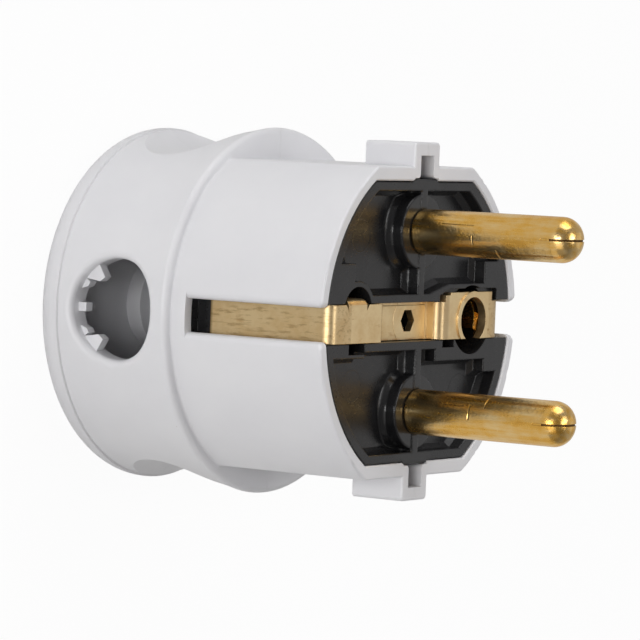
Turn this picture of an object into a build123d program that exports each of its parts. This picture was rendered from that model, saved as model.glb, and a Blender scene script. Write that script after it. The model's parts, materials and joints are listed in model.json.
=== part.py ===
from build123d import *
import os
from math import cos, radians, sin, sqrt

# Right-angle earthed mains plug, standing on its flat back with the pins up. Millimetres.
# Z runs along the pins, Y joins the two pins, and the cord enters from -X.
# Heights are measured from the flat back; depths are measured down from the front face.

# Contact pins
pin_pitch = 19.0
pin_diameter = 4.8
pin_reach = 19.0
pin_tail = 9.4
pin_tip_radius = 2.1
pin_foot_radius = 0.25
pin_neck_radius = 2.1
pin_play = 0.05
pin_slit_length = 3.3
pin_slit_width = 0.22
spigot_radius = 1.7
spigot_length = 2.4

# Outside of the hood
flange_radius = 19.75
flange_height = 18.17
flange_lip_radius = 0.55
flare = 0.8
flare_length = 7.17
cap_bulge = 0.23
cap_edge_radius = 3.05
ring_height = 3.46
ring_slant = 0.11
sleeve_length = 19.03
ledge_width = 1.05
flat_inset = 2.37
sleeve_corner_radius = 0.9
sleeve_root_radius = 0.2
rim_edge_radius = 0.25
bore_edge = 0.15

# Finger scoops on the two flat sides
scoop_radius = 8.1
scoop_bite = 2.55
scoop_height = 9.5

# Guide lugs on the flats
lug_width = 4.75
lug_rise = 2.57
lug_length = 6.3
lug_edge_radius = 0.45
lug_slot_width = 2.5
lug_crown = 1.4
lug_slot_depth = 5.0
lug_slot_mouth_radius = 0.4
key_width = 4.4
key_height = 0.3
key_depth = 3.2

# Hollow of the hood
sleeve_wall = 1.18
flat_wall = 1.5
cavity_wall = 2.65
scoop_wall = 2.2
back_wall = 2.0
overcut = 1.0

# Side slots for the earth contacts
side_slot_width = 3.5
side_slot_foot = 1.83
side_slot_mouth_radius = 0.7

# Cable hole and its grip teeth
cable_hole_below = 1.59
cable_hole_above = 2.42
cable_lip_radius = 0.7
tooth_height = 1.5
tooth_length = 1.1
tooth_span = 24.0
tooth_angle = 133.0
tooth_root = 0.3
small_tooth_height = 1.0
small_tooth_width = 0.95
side_nub_angle = 152.0
side_nub_span = 13.0
side_nub_height = 0.6

# Central screw and its post
screw_diameter = 2.96
screw_clearance = 0.22
screw_head_radius = 3.1
screw_head_height = 1.7
screw_recess_radius = 3.6
screw_seat_height = 2.0
seat_thickness = 1.8
seat_radius = 5.0
post_radius = 3.2
post_gap = 0.2
nut_flats = 5.5
nut_thickness = 2.4
nut_depth = 7.1
nut_play = 0.05
screw_tip_past_nut = 0.8

# Contact carrier
fit_gap = 0.1
face_recess = 0.15
carrier_overlap = 0.72
carrier_rim = 1.17
flat_rim = 0.97
wall_edge = 0.1
wall_foot = 0.55
chamber_depth = 1.9
plate_thickness = 3.1
skirt_wall = 1.4
boss_radius = 3.95
boss_recess = 0.12
tail_boss_radius = 4.3
rib_width = 1.15
bar_top = 2.92
bar_step_top = 3.9
bar_bottom = 3.0
bar_step_bottom = 4.3
bar_slope_start = 1.6
bar_slope_end = 5.3
bar_step_start = 3.25
block_left_inset = 5.02
block_right = 12.45
block_top = 6.25
lower_block_left = 12.85
lower_block_bottom = 5.7
clip_pad_thickness = 1.7
clip_pad_width = 6.3
carrier_post_radius = 4.3
partition_thickness = 1.1
partition_offset = 3.15
partition_length = 13.4

# Earth bridge
strip_width = 4.0
strip_thickness = 0.8
strip_step = 1.75
strip_inset = 0.67
step_left = 7.3
step_right = 3.65
left_bend_radius = 1.1
right_bend_radius = 3.0
clip_depth = 15.3
clip_pocket_margin = 0.3
strip_gap = 0.08
step_bend_radius = 0.35
raised_bend_radius = 1.0
hex_flats = 2.25
wide_top = 2.7
wider_top = 2.98
wide_shoulder = 1.85
shoulder_slant = 0.15
wide_end_inset = 1.85
clearance_ring = 0.4
tab_inset = 4.0
tab_width = 3.3
tab_depth = 10.0
tab_outer = 2.6
tab_bend_radius = 0.85
notch_size = 0.65
window_shift = 0.2
window_height = 1.3
window_radius = 2.55
window_left_inset = 0.4
window_right_margin = 0.1
window_bottom = 3.2
window_border = 0.6
pry_notch_place = 5.65
pry_notch_width = 2.3
pry_notch_height = 0.9
pry_notch_border = 0.15
pry_notch_depth = 1.6

# Female contact for a socket's earth pin
socket_offset = 10.0
socket_radius = 2.45
collar_width = 0.62
collar_height = 0.15
sleeve_contact_wall = 0.55
sleeve_contact_top = 1.35
sleeve_contact_bottom = 12.0
sleeve_neck_angle = 80
sleeve_mouth_angle = 130.0
well_depth = 16.0
well_radius = 3.7
well_wall = 1.0
ring_wall = 0.4
ring_depth = 8.0
ring_length = 2.0
ring_mouth_angle = 40

# Terminals
terminal_length = 7.4
terminal_width = 6.4
terminal_height = 8.0
terminal_corner = 0.6
wire_depth = 4.5
wire_hole_radius = 1.6
terminal_screw_radius = 1.45
terminal_head_radius = 2.05
terminal_head_height = 1.6
terminal_head_gap = 0.6
terminal_clearance = 0.25
leaf_thickness = 0.3
leaf_width = 1.5
leaf_hook = 1.6
leaf_drop = 1.3
earth_terminal_length = 5.4
earth_terminal_width = 4.6
earth_terminal_gap = 0.45
earth_terminal_depth = 6.0
driver_slot_width = 0.7
driver_slot_depth = 0.8

# Cord grip
clamp_length = 19.0
clamp_width = 4.2
clamp_thickness = 2.2
clamp_corner_radius = 2.0
clamp_offset = 8.2
clamp_arch_radius = 5.0
clamp_groove_depth = 1.1
clamp_screw_offset = 7.2
clamp_screw_radius = 1.2
clamp_head_radius = 2.0
clamp_head_height = 1.2
saddle_thickness = 2.4

# Derived places
pin_offset = pin_pitch / 2
pin_radius = pin_diameter / 2
face_height = flange_height + sleeve_length
body_radius = flange_radius - flare
cap_radius = body_radius + cap_bulge
flare_height = flange_height - flare_length
sleeve_radius = flange_radius - ledge_width
sleeve_half_flat = sleeve_radius - flat_inset
sleeve_inner = sleeve_radius - sleeve_wall
sleeve_inner_flat = sleeve_half_flat - flat_wall
scoop_floor = body_radius - scoop_bite
lug_top = sleeve_half_flat + lug_rise
lug_base = sleeve_half_flat - flat_wall / 2
lug_slot_top = lug_top - lug_crown
side_slot_depth = sleeve_length - side_slot_foot
cable_hole_radius = (flange_height - ring_height - cable_hole_below - cable_hole_above) / 2
cable_hole_height = ring_height + cable_hole_below + cable_hole_radius
cavity_radius = body_radius - cavity_wall
cavity_half_flat = scoop_floor - scoop_wall
carrier_top = face_height - face_recess
carrier_bottom = flange_height - carrier_overlap
carrier_length = carrier_top - carrier_bottom
chamber_floor = carrier_top - chamber_depth
boss_face = carrier_top - boss_recess
carrier_radius = sleeve_inner - fit_gap
carrier_half_flat = sleeve_inner_flat - fit_gap
chamber_radius = carrier_radius - carrier_rim
chamber_half_flat = carrier_half_flat - flat_rim
plate_bottom = chamber_floor - plate_thickness
skirt_radius = carrier_radius - skirt_wall
skirt_half_flat = carrier_half_flat - skirt_wall
screw_hole_radius = screw_diameter / 2 + screw_clearance
pin_tail_height = face_height - pin_tail
nut_top = face_height - nut_depth
nut_bottom = nut_top - nut_thickness
strip_floor = face_height - strip_step - strip_thickness
strip_reach = carrier_radius - strip_inset
wide_end = strip_reach - wide_end_inset
clip_pocket_depth = side_slot_depth + clip_pocket_margin
clip_inner = strip_reach - strip_thickness
clip_pad_inner = clip_inner - clip_pad_thickness
block_left = carrier_radius - block_left_inset
tab_left = clip_inner - tab_inset + tab_width / 2
tab_right = tab_left - tab_width
window_centre = (tab_left + tab_right) / 2 - window_shift
window_left = tab_left - window_left_inset
window_right = tab_right - window_right_margin
earth_terminal_offset = clip_pad_inner - earth_terminal_gap - earth_terminal_length / 2
leaf_height = -wire_depth - leaf_drop
earth_terminal_top = face_height - earth_terminal_depth
earth_terminal_shift = tab_outer - strip_thickness - earth_terminal_width / 2


def flatted_disc(radius, half_flat, mode=Mode.ADD):
    """A disc with two flats facing +Y and -Y, in the sketch that is open."""
    with BuildSketch(mode=Mode.PRIVATE) as disc:
        Circle(radius)
        Rectangle(2 * radius, 2 * half_flat, mode=Mode.INTERSECT)
    add(disc.sketch, mode=mode)


def depth_plane(depth):
    """The horizontal plane at a depth below the front face."""
    return Plane.XY.offset(face_height - depth)


def guide_lug():
    """The lug on the +Y flat of the sleeve, rounded on its outer edges."""
    with BuildPart(mode=Mode.PRIVATE) as lug:
        with BuildSketch(Plane.XY.offset(face_height)):
            with Locations((0, (lug_top + lug_base) / 2)):
                Rectangle(lug_width, lug_top - lug_base)
        extrude(amount=-lug_length)
        lug_edges = lug.edges().filter_by(Axis.Z).group_by(Axis.Y)[-1]
        fillet(lug_edges, lug_edge_radius)
        fillet(lug.faces().sort_by(Axis.Y)[-1].edges().group_by(Axis.Z)[-1], rim_edge_radius)
    return lug.part


# Hood: revolved outside, sleeve, lugs, hollow, slots, cable hole and screw post
with BuildPart() as hood:
    with BuildSketch(Plane.XZ):
        with BuildLine():
            Line((0, 0), (cap_radius - cap_edge_radius, 0))
            TangentArc(
                (cap_radius - cap_edge_radius, 0),
                (cap_radius, cap_edge_radius),
                tangent=(1, 0),
            )
            Polyline(
                (cap_radius, cap_edge_radius),
                (cap_radius, ring_height - ring_slant),
                (body_radius, ring_height),
                (body_radius, flare_height),
            )
            TangentArc(
                (body_radius, flare_height),
                (flange_radius, flange_height - flange_lip_radius),
                tangent=(0, 1),
            )
            RadiusArc(
                (flange_radius, flange_height - flange_lip_radius),
                (flange_radius - flange_lip_radius, flange_height),
                -flange_lip_radius,
            )
            Polyline(
                (flange_radius - flange_lip_radius, flange_height),
                (0, flange_height),
                (0, 0),
            )
        make_face()
    revolve(axis=Axis.Z)
    with BuildSketch(Plane.XY.offset(flange_height)) as sleeve_outline:
        flatted_disc(sleeve_radius, sleeve_half_flat)
        fillet(sleeve_outline.vertices(), sleeve_corner_radius)
    extrude(amount=sleeve_length)
    sleeve_root = (
        hood.edges()
        .filter_by(lambda e: abs(e.center().Z - flange_height) < 0.01)
        .filter_by(lambda e: max(abs(v.X) for v in e.vertices()) < sleeve_radius + 0.01)
        .filter_by(lambda e: e.bounding_box().size.Z < 0.01)
    )
    fillet(sleeve_root, sleeve_root_radius)
    sleeve_rim = hood.edges().group_by(Axis.Z)[-1]
    fillet(sleeve_rim, rim_edge_radius)

    # Finger scoops
    with BuildSketch(Plane.YZ):
        for side in (-1, 1):
            with Locations((side * (scoop_floor + scoop_radius), scoop_height)):
                Circle(scoop_radius)
    extrude(amount=flange_radius, both=True, mode=Mode.SUBTRACT)

    # Guide lugs
    add(guide_lug())
    add(guide_lug().rotate(Axis.Z, 180))

    # Hollow: cavity behind, bore for the carrier in front
    with BuildSketch(Plane.XY.offset(back_wall)) as cavity_outline:
        flatted_disc(cavity_radius, cavity_half_flat)
        fillet(cavity_outline.vertices(), sleeve_corner_radius)
    extrude(amount=carrier_bottom - back_wall, mode=Mode.SUBTRACT)
    with BuildSketch(Plane.XY.offset(carrier_bottom)):
        flatted_disc(sleeve_inner, sleeve_inner_flat)
    extrude(amount=carrier_length + overcut, mode=Mode.SUBTRACT)
    bore_rim = (
        hood.edges()
        .filter_by_position(Axis.Z, face_height, face_height)
        .filter_by(lambda e: abs(e.center().Y) < sleeve_inner_flat + 0.01)
        .filter_by(lambda e: sqrt((e @ 0.5).X ** 2 + (e @ 0.5).Y ** 2) < sleeve_inner + 0.01)
    )
    chamfer(bore_rim, bore_edge)

    # Slots in the lugs, flared where they meet the bore
    with BuildSketch(Plane.XY.offset(face_height)) as lug_slots:
        Rectangle(lug_slot_width, 2 * lug_slot_top)
        with BuildLine():
            Polyline(
                (-key_width / 2 - key_height, sleeve_inner_flat - fit_gap),
                (-key_width / 2, sleeve_inner_flat + key_height),
                (key_width / 2, sleeve_inner_flat + key_height),
                (key_width / 2 + key_height, sleeve_inner_flat - fit_gap),
                close=True,
            )
        mouth = make_face()
        add(mouth.rotate(Axis.Z, 180))
        slot_corners = lug_slots.vertices().filter_by(
            lambda v: abs(abs(v.X) - lug_slot_width / 2) < 0.01 and abs(v.Y) < lug_slot_top - 0.01
        )
        fillet(slot_corners, lug_slot_mouth_radius)
    extrude(amount=-lug_slot_depth, mode=Mode.SUBTRACT)

    # Side slots, open to the front
    with BuildSketch(Plane.YZ):
        with Locations((0, face_height - side_slot_depth / 2)):
            Rectangle(side_slot_width, side_slot_depth)
    extrude(amount=flange_radius, both=True, mode=Mode.SUBTRACT)
    slot_mouths = (
        hood.edges()
        .filter_by(Axis.X)
        .filter_by(lambda e: abs(abs(e.center().Y) - side_slot_width / 2) < 0.01)
        .filter_by(lambda e: abs(e.center().Z - face_height) < 0.01)
        .filter_by(lambda e: abs(e.center().X) > sleeve_inner - sleeve_wall)
    )
    fillet(slot_mouths, side_slot_mouth_radius)

    # Screw post on the back wall
    with BuildSketch(Plane.XY.offset(back_wall)):
        Circle(seat_radius)
    extrude(amount=seat_thickness)
    with BuildSketch(Plane.XY.offset(back_wall)):
        Circle(post_radius)
    extrude(amount=carrier_bottom - back_wall - post_gap)
    with BuildSketch():
        Circle(screw_recess_radius)
    extrude(amount=screw_seat_height, mode=Mode.SUBTRACT)
    with BuildSketch():
        Circle(screw_hole_radius)
    extrude(amount=face_height, mode=Mode.SUBTRACT)

    # Cable hole through the -X wall
    with BuildSketch(Plane.YZ.offset(-cavity_half_flat)):
        with Locations((0, cable_hole_height)):
            Circle(cable_hole_radius)
    extrude(amount=cavity_half_flat - flange_radius - overcut, mode=Mode.SUBTRACT)
    cable_lip = (
        hood.edges()
        .filter_by(lambda e: (e @ 0.5).X < -body_radius + cavity_wall / 2)
        .filter_by(
            lambda e: abs(
                sqrt((e @ 0.5).Y ** 2 + ((e @ 0.5).Z - cable_hole_height) ** 2) - cable_hole_radius
            )
            < 0.01
        )
    )
    fillet(cable_lip, cable_lip_radius)

    # Grip teeth on the rear side of the cable hole, steep on the side away from the middle tooth
    tooth_plane = Plane(origin=(-cavity_radius, 0, cable_hole_height), x_dir=(0, -1, 0), z_dir=(-1, 0, 0))
    with BuildSketch(tooth_plane):
        outer = cable_hole_radius + tooth_root
        for side in (-1, 1):
            for angle, span, height in (
                (tooth_angle, tooth_span, tooth_height),
                (side_nub_angle, side_nub_span, side_nub_height),
            ):
                inner = cable_hole_radius - height
                edge = cable_hole_radius
                start = radians(side * (angle - span / 2) + 90)
                stop = radians(side * (angle + span / 2) + 90)
                middle = radians(side * angle + 90)
                with BuildLine():
                    Line((inner * cos(start), inner * sin(start)), (outer * cos(start), outer * sin(start)))
                    ThreePointArc(
                        (outer * cos(start), outer * sin(start)),
                        (outer * cos(middle), outer * sin(middle)),
                        (outer * cos(stop), outer * sin(stop)),
                    )
                    Polyline(
                        (outer * cos(stop), outer * sin(stop)),
                        (edge * cos(stop), edge * sin(stop)),
                        (inner * cos(middle), inner * sin(middle)),
                        (inner * cos(start), inner * sin(start)),
                    )
                make_face()
        with Locations((0, (small_tooth_height - tooth_root) / 2 - cable_hole_radius)):
            Rectangle(small_tooth_width, small_tooth_height + tooth_root)
    extrude(amount=tooth_length)

hood.part.label = "hood"


def bar_outline(mode=Mode.ADD):
    """The bar across the carrier's middle, with its blocks at both ends, in the sketch that is open."""
    with BuildSketch(mode=Mode.PRIVATE) as bar:
        with BuildLine():
            Polyline(
                (-carrier_radius, block_top),
                (-block_left, block_top),
                (-block_left, bar_top),
                (bar_slope_start, bar_top),
                (bar_slope_end, bar_step_top),
                (block_right, bar_step_top),
                (block_right, block_top),
                (carrier_radius, block_top),
                (carrier_radius, -lower_block_bottom),
                (lower_block_left, -lower_block_bottom),
                (lower_block_left, -bar_step_bottom),
                (bar_step_start, -bar_step_bottom),
                (bar_step_start, -bar_bottom),
                (-window_right, -bar_bottom),
                (-window_right, -bar_bottom - window_border),
                (-carrier_radius, -bar_bottom - window_border),
                close=True,
            )
        make_face()
    add(bar.sketch, mode=mode)


def inner_feet():
    """Sloped feet of the bar, ribs, bosses and window wall on the floor of the chambers."""
    foot_top = chamber_floor + wall_foot
    with BuildPart(mode=Mode.PRIVATE) as feet:
        with BuildSketch(Plane.XY.offset(chamber_floor)):
            bar_outline()
            offset(amount=wall_foot, kind=Kind.INTERSECTION)
        with BuildSketch(Plane.XY.offset(foot_top)):
            bar_outline()
        loft()
        for side in (-1, 1):
            with Locations((0, side * pin_offset, chamber_floor + wall_foot / 2)):
                Cone(boss_radius + wall_foot, boss_radius, wall_foot)
        with Locations((-window_centre, window_height, chamber_floor + wall_foot / 2)):
            Cone(window_radius + window_border + wall_foot, window_radius + window_border, wall_foot)
        with BuildSketch(Plane.XZ):
            with BuildLine():
                Polyline(
                    (-rib_width / 2 - wall_foot, chamber_floor),
                    (-rib_width / 2, foot_top),
                    (rib_width / 2, foot_top),
                    (rib_width / 2 + wall_foot, chamber_floor),
                    close=True,
                )
            make_face()
        extrude(amount=carrier_radius, both=True)
        with BuildSketch(Plane.XY.offset(chamber_floor)):
            flatted_disc(chamber_radius, chamber_half_flat)
        extrude(amount=wall_foot, mode=Mode.INTERSECT)
    return feet.part


def rim_foot():
    """Sloped foot of the rim round the chambers."""
    with BuildPart(mode=Mode.PRIVATE) as foot:
        with BuildSketch(Plane.XY.offset(chamber_floor)):
            flatted_disc(carrier_radius - carrier_rim / 2, carrier_half_flat - flat_rim / 2)
        extrude(amount=wall_foot)
        with BuildSketch(Plane.XY.offset(chamber_floor)):
            flatted_disc(chamber_radius - wall_foot, chamber_half_flat - wall_foot)
        with BuildSketch(Plane.XY.offset(chamber_floor + wall_foot)):
            flatted_disc(chamber_radius, chamber_half_flat)
        loft(mode=Mode.SUBTRACT)
    return foot.part


# Contact carrier: front plate with open chambers, skirt, bosses, posts and wells
with BuildPart() as contact_carrier:
    with BuildSketch(Plane.XY.offset(carrier_bottom)):
        flatted_disc(carrier_radius, carrier_half_flat)
    extrude(amount=carrier_length)
    with BuildSketch(Plane.XY.offset(carrier_top)):
        with BuildLine():
            Polyline(
                (-key_width / 2 - key_height, carrier_half_flat),
                (-key_width / 2, carrier_half_flat + key_height),
                (key_width / 2, carrier_half_flat + key_height),
                (key_width / 2 + key_height, carrier_half_flat),
                (0, 0),
                close=True,
            )
        key = make_face()
        add(key.rotate(Axis.Z, 180))
    extrude(amount=-key_depth)
    with BuildSketch(Plane.XY.offset(carrier_bottom)):
        flatted_disc(skirt_radius, skirt_half_flat)
    extrude(amount=plate_bottom - carrier_bottom, mode=Mode.SUBTRACT)

    # Walls behind the plate: tail bosses, post, partitions, clip pads and cord saddle
    with BuildSketch(Plane.XY.offset(pin_tail_height)):
        with Locations((0, pin_offset), (0, -pin_offset)):
            Circle(tail_boss_radius)
    extrude(until=Until.NEXT)
    with BuildSketch(Plane.XY.offset(carrier_bottom)):
        Circle(carrier_post_radius)
    extrude(amount=plate_bottom - carrier_bottom)
    with BuildSketch(Plane.XY.offset(carrier_bottom + saddle_thickness)):
        for side in (-1, 1):
            with Locations((0, side * (partition_offset + partition_thickness / 2))):
                Rectangle(2 * partition_length, partition_thickness)
    extrude(amount=plate_bottom - carrier_bottom - saddle_thickness)
    with BuildSketch(Plane.XY.offset(carrier_bottom)):
        for side in (-1, 1):
            with Locations((side * (clip_inner - clip_pad_thickness / 2), 0)):
                Rectangle(clip_pad_thickness, clip_pad_width)
    extrude(amount=plate_bottom - carrier_bottom)
    with BuildSketch(depth_plane(well_depth + well_wall)):
        with Locations((socket_offset, 0)):
            Circle(well_radius + well_wall)
    extrude(amount=plate_bottom - face_height + well_depth + well_wall)
    with BuildSketch(Plane.XY.offset(carrier_bottom)):
        with Locations((-clamp_offset, 0)):
            Rectangle(clamp_width, 2 * skirt_half_flat)
        flatted_disc(carrier_radius - skirt_wall / 2, carrier_half_flat, Mode.INTERSECT)
    extrude(amount=saddle_thickness)

    # Room for the terminals, and for a screwdriver to the earth terminal
    with BuildSketch(Plane.XY.offset(carrier_bottom)):
        with Locations((0, pin_offset), (0, -pin_offset)):
            Rectangle(
                terminal_length + 2 * leaf_thickness + 2 * terminal_clearance,
                terminal_width + 2 * terminal_clearance,
            )
        with Locations((-earth_terminal_offset, earth_terminal_shift)):
            Circle(terminal_head_radius + terminal_clearance)
    extrude(amount=pin_tail_height - carrier_bottom, mode=Mode.SUBTRACT)

    # Open chambers in the front, with the bar, ribs and bosses left standing
    with BuildSketch(Plane.XY.offset(carrier_top)):
        flatted_disc(chamber_radius, chamber_half_flat)
        bar_outline(Mode.SUBTRACT)
        with Locations((-window_centre, window_height)):
            Circle(window_radius + window_border, mode=Mode.SUBTRACT)
        Rectangle(rib_width, 2 * carrier_radius, mode=Mode.SUBTRACT)
        with Locations((0, pin_offset), (0, -pin_offset)):
            Circle(boss_radius, mode=Mode.SUBTRACT)
    extrude(amount=-chamber_depth, mode=Mode.SUBTRACT)
    add(inner_feet())
    add(rim_foot())
    top_edges = contact_carrier.edges().filter_by_position(Axis.Z, carrier_top, carrier_top)
    chamfer(top_edges, wall_edge)

    # Boss faces stand a little lower than the ribs and the rim
    with BuildSketch(Plane.XY.offset(carrier_top)):
        with Locations((0, pin_offset), (0, -pin_offset)):
            Circle(boss_radius)
        Rectangle(rib_width, 2 * carrier_radius, mode=Mode.SUBTRACT)
        flatted_disc(chamber_radius, chamber_half_flat, Mode.INTERSECT)
    extrude(amount=-boss_recess, mode=Mode.SUBTRACT)
    with BuildSketch(Plane.XY.offset(boss_face)):
        with Locations((0, pin_offset), (0, -pin_offset)):
            Circle(pin_radius + pin_play)
    extrude(amount=face_height, mode=Mode.SUBTRACT)

    # Channel for the earth bridge and its two side springs
    with BuildSketch(Plane.XZ) as channel:
        with BuildLine():
            Polyline(
                (-flange_radius, face_height + overcut),
                (-flange_radius, face_height - clip_pocket_depth),
                (-clip_inner, face_height - clip_pocket_depth),
                (-clip_inner, face_height - strip_thickness),
                (-step_left - strip_thickness - strip_gap, face_height - strip_thickness),
                (-step_left - strip_thickness - strip_gap, strip_floor),
                (step_right + strip_thickness + strip_gap, strip_floor),
                (step_right + strip_thickness + strip_gap, face_height - strip_thickness),
                (clip_inner, face_height - strip_thickness),
                (clip_inner, face_height - clip_pocket_depth),
                (flange_radius, face_height - clip_pocket_depth),
                (flange_radius, face_height + overcut),
                close=True,
            )
        make_face()
        for corner, radius in ((-clip_inner, left_bend_radius), (clip_inner, right_bend_radius)):
            bend = channel.vertices().sort_by_distance((corner, face_height - strip_thickness, 0))[0]
            fillet(bend, radius - strip_thickness)
    extrude(amount=strip_width / 2 + strip_gap, both=True, mode=Mode.SUBTRACT)

    # Clearance round the wide end of the bridge, windows for its tab, well and holes
    with BuildSketch(depth_plane(strip_thickness)) as wide_clearance:
        with BuildLine():
            Polyline(
                (step_right, 0),
                (step_right, wide_top),
                (step_right + wide_shoulder, wider_top + clearance_ring),
                (wide_end, wider_top + clearance_ring),
                (wide_end, 0),
                close=True,
            )
        make_face()
        far_corner = wide_clearance.vertices().sort_by_distance((wide_end, wider_top, 0))[0]
        fillet(far_corner, clearance_ring)
    extrude(amount=face_height, mode=Mode.SUBTRACT)
    with BuildSketch(Plane.XY.offset(plate_bottom)):
        with Locations((-window_centre, window_height)):
            Circle(window_radius)
        with Locations((-(window_left + window_right) / 2, -window_bottom / 2)):
            Rectangle(window_left - window_right, window_bottom)
    extrude(amount=face_height, mode=Mode.SUBTRACT)
    with BuildSketch(depth_plane(pry_notch_depth)):
        with Locations((pry_notch_place, -bar_bottom + pry_notch_height / 2 + pry_notch_border)):
            Rectangle(pry_notch_width, pry_notch_height)
    extrude(amount=face_height, mode=Mode.SUBTRACT)
    with BuildSketch(depth_plane(well_depth)):
        with Locations((socket_offset, 0)):
            Circle(well_radius)
    extrude(amount=face_height, mode=Mode.SUBTRACT)
    with BuildSketch(Plane.XY.offset(carrier_bottom)):
        Circle(screw_hole_radius)
        with Locations((0, pin_offset), (0, -pin_offset)):
            Circle(pin_neck_radius)
    extrude(amount=face_height, mode=Mode.SUBTRACT)

    # Side pocket for the captive nut, and the cord saddle's groove and screw holes
    with BuildSketch(Plane.XY.offset(nut_bottom - nut_play)):
        with Locations((0, carrier_post_radius / 2)):
            Rectangle(
                nut_flats + 2 * nut_play,
                carrier_post_radius + nut_flats / sqrt(3) * 2 + 2 * nut_play,
            )
    extrude(amount=nut_thickness + 2 * nut_play, mode=Mode.SUBTRACT)
    with BuildSketch(Plane.YZ.offset(-clamp_offset - clamp_width)):
        with Locations((0, carrier_bottom - clamp_arch_radius + clamp_groove_depth)):
            Circle(clamp_arch_radius)
    extrude(amount=2 * clamp_width, mode=Mode.SUBTRACT)
    with BuildSketch(Plane.XY.offset(carrier_bottom)):
        with Locations((-clamp_offset, clamp_screw_offset), (-clamp_offset, -clamp_screw_offset)):
            Circle(clamp_screw_radius)
    extrude(amount=saddle_thickness, mode=Mode.SUBTRACT)
contact_carrier.part.label = "contact_carrier"


def contact_pin():
    """A rolled pin with a rounded, slit tip and a spigot for the terminal, on the Z axis."""
    with BuildPart(mode=Mode.PRIVATE) as pin:
        with BuildSketch(Plane.XY.offset(boss_face)):
            Circle(pin_radius)
        extrude(amount=face_height + pin_reach - boss_face)
        fillet(pin.edges().group_by(Axis.Z)[-1], pin_tip_radius)
        fillet(pin.edges().group_by(Axis.Z)[0], pin_foot_radius)
        with BuildSketch(Plane.XY.offset(pin_tail_height)):
            Circle(pin_neck_radius)
        extrude(amount=boss_face - pin_tail_height)
        with BuildSketch(Plane.XY.offset(pin_tail_height)):
            Circle(spigot_radius)
        extrude(amount=-spigot_length)
        with BuildSketch(Plane.XZ):
            with Locations((0, face_height + pin_reach - pin_slit_length / 2)):
                Rectangle(pin_diameter, pin_slit_length)
        extrude(amount=pin_slit_width / 2, both=True, mode=Mode.SUBTRACT)
    return pin.part


with BuildPart() as line_pin:
    with Locations((0, pin_offset, 0)):
        add(contact_pin())
line_pin.part.label = "line_pin"

with BuildPart() as neutral_pin:
    with Locations((0, -pin_offset, 0)):
        add(contact_pin())
neutral_pin.part.label = "neutral_pin"


def terminal_block(length, width, height, wire_height, spigot):
    """A brass block with its top face on Z 0, a wire hole along X and a thread from below."""
    with BuildPart(mode=Mode.PRIVATE) as block:
        with BuildSketch(Plane.XY.offset(-height)):
            RectangleRounded(length, width, terminal_corner)
        extrude(amount=height)
        with BuildSketch(Plane.YZ.offset(-length / 2)):
            with Locations((0, wire_height)):
                Circle(wire_hole_radius)
        extrude(amount=length, mode=Mode.SUBTRACT)
        with BuildSketch(Plane.XY.offset(-height)):
            Circle(terminal_screw_radius)
        extrude(amount=height + wire_height, mode=Mode.SUBTRACT)
        if spigot:
            with BuildSketch():
                Circle(spigot_radius)
            extrude(amount=-spigot_length, mode=Mode.SUBTRACT)
    return block.part


def slotted_screw(shank_radius, shank_length, head_radius, head_height):
    """A cheese-head screw with its head below Z 0 and its shank above."""
    with BuildPart(mode=Mode.PRIVATE) as screw:
        with BuildSketch():
            Circle(shank_radius)
        extrude(amount=shank_length)
        with BuildSketch():
            Circle(head_radius)
        extrude(amount=-head_height)
        fillet(screw.edges().group_by(Axis.Z)[0], head_height / 4)
        with BuildSketch(Plane.XY.offset(-head_height)):
            Rectangle(2 * head_radius, driver_slot_width)
        extrude(amount=driver_slot_depth, mode=Mode.SUBTRACT)
    return screw.part


def guard_leaf():
    """A thin leaf that lies between the screw and the wire and hooks over the block's end."""
    with BuildPart(mode=Mode.PRIVATE) as leaf:
        with BuildSketch(Plane.XY.offset(leaf_height)):
            Rectangle(terminal_length, leaf_width)
        extrude(amount=leaf_thickness)
        with BuildSketch(Plane.YZ.offset(-terminal_length / 2 - leaf_thickness)):
            with Locations((0, leaf_height + leaf_thickness - leaf_hook / 2)):
                Rectangle(leaf_width, leaf_hook)
        extrude(amount=leaf_thickness)
    return leaf.part


with BuildPart() as line_terminal:
    with Locations((0, pin_offset, pin_tail_height)):
        add(terminal_block(terminal_length, terminal_width, terminal_height, -wire_depth, True))
line_terminal.part.label = "line_terminal"

with BuildPart() as neutral_terminal:
    with Locations((0, -pin_offset, pin_tail_height)):
        add(terminal_block(terminal_length, terminal_width, terminal_height, -wire_depth, True))
neutral_terminal.part.label = "neutral_terminal"

with BuildPart() as earth_terminal:
    with Locations((-earth_terminal_offset, earth_terminal_shift, earth_terminal_top)):
        add(
            terminal_block(
                earth_terminal_length, earth_terminal_width, terminal_height, -wire_depth, False
            )
        )
earth_terminal.part.label = "earth_terminal"

screw_head_level = -terminal_height - terminal_head_gap
terminal_screw_length = terminal_height + terminal_head_gap - wire_depth - leaf_drop

with BuildPart() as line_terminal_screw:
    with Locations((0, pin_offset, pin_tail_height + screw_head_level)):
        add(
            slotted_screw(
                terminal_screw_radius, terminal_screw_length, terminal_head_radius, terminal_head_height
            )
        )
line_terminal_screw.part.label = "line_terminal_screw"

with BuildPart() as neutral_terminal_screw:
    with Locations((0, -pin_offset, pin_tail_height + screw_head_level)):
        add(
            slotted_screw(
                terminal_screw_radius, terminal_screw_length, terminal_head_radius, terminal_head_height
            )
        )
neutral_terminal_screw.part.label = "neutral_terminal_screw"

with BuildPart() as earth_terminal_screw:
    with Locations(
        (-earth_terminal_offset, earth_terminal_shift, earth_terminal_top + screw_head_level)
    ):
        add(
            slotted_screw(
                terminal_screw_radius, terminal_screw_length, terminal_head_radius, terminal_head_height
            )
        )
earth_terminal_screw.part.label = "earth_terminal_screw"

with BuildPart() as line_guard_leaf:
    with Locations((0, pin_offset, pin_tail_height)):
        add(guard_leaf())
line_guard_leaf.part.label = "line_guard_leaf"

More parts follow.
